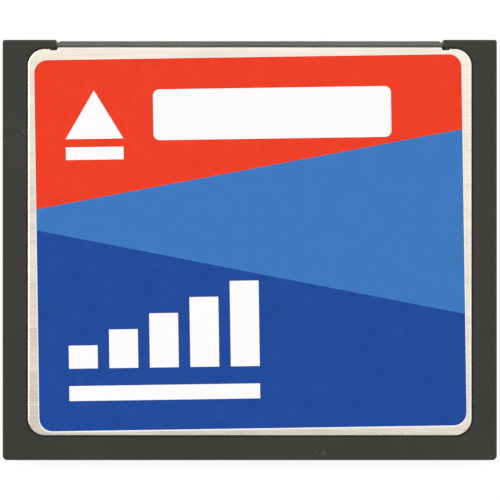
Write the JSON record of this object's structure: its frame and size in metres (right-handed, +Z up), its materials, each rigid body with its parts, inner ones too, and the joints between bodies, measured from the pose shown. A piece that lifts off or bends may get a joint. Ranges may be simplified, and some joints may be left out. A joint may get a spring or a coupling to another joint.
{
  "type": "compact flash card",
  "caption": "Thin rectangular memory card: a moulded frame between two steel panels, with guide grooves in its sides, a pin socket along its front edge and a printed label.",
  "frame": {"origin": "middle of the card's underside, on the plane that it lies on", "axes": "+X across the card, with the narrow guide groove on the +X side; +Y towards the connector edge, the way the card goes in; +Z up, out of the label"},
  "size_m": [0.0428, 0.0364, 0.0033],
  "materials": {
    "frame_plastic": "fine moulded grain, satin",
    "panel_steel": "thin stamped stainless sheet, satin",
    "bond_film": "translucent adhesive film",
    "label_white": "white label film, satin gloss",
    "label_red": "printed ink, satin gloss",
    "label_blue": "printed ink, satin gloss",
    "label_navy": "printed ink, satin gloss",
    "connector_plastic": "dark grey glass-filled polymer",
    "contact_metal": "gold-plated spring alloy",
    "board": "solder-masked laminate",
    "chip_plastic": "moulded epoxy",
    "lead_metal": "tin-plated leads",
    "capacitor_body": "fired ceramic",
    "resistor_body": "glazed thick film"
  },
  "bodies": {
    "root": {"bottom_bond_film": "bond_film", "bottom_panel": "panel_steel", "bulk_capacitor": "capacitor_body", "capacitor_1": "capacitor_body", "capacitor_2": "capacitor_body", "capacitor_3": "capacitor_body", "capacitor_4": "capacitor_body", "capacitor_5": "capacitor_body", "capacitor_6": "capacitor_body", "circuit_board": "board", "connector_housing": "connector_plastic", "controller_chip": "chip_plastic", "controller_chip_leads": "lead_metal", "flash_chip_1": "chip_plastic", "flash_chip_1_leads": "lead_metal", "flash_chip_2": "chip_plastic", "flash_chip_2_leads": "lead_metal", "label_blue_field": "label_blue", "label_film": "label_white", "label_navy_field": "label_navy", "label_red_field": "label_red", "lower_contacts": "contact_metal", "resistor_1": "resistor_body", "resistor_2": "resistor_body", "resistor_3": "resistor_body", "resistor_4": "resistor_body", "resistor_5": "resistor_body", "side_frame": "frame_plastic", "top_bond_film": "bond_film", "top_panel": "panel_steel", "upper_contacts": "contact_metal", "voltage_detector": "chip_plastic"}
  },
  "joints": []
}
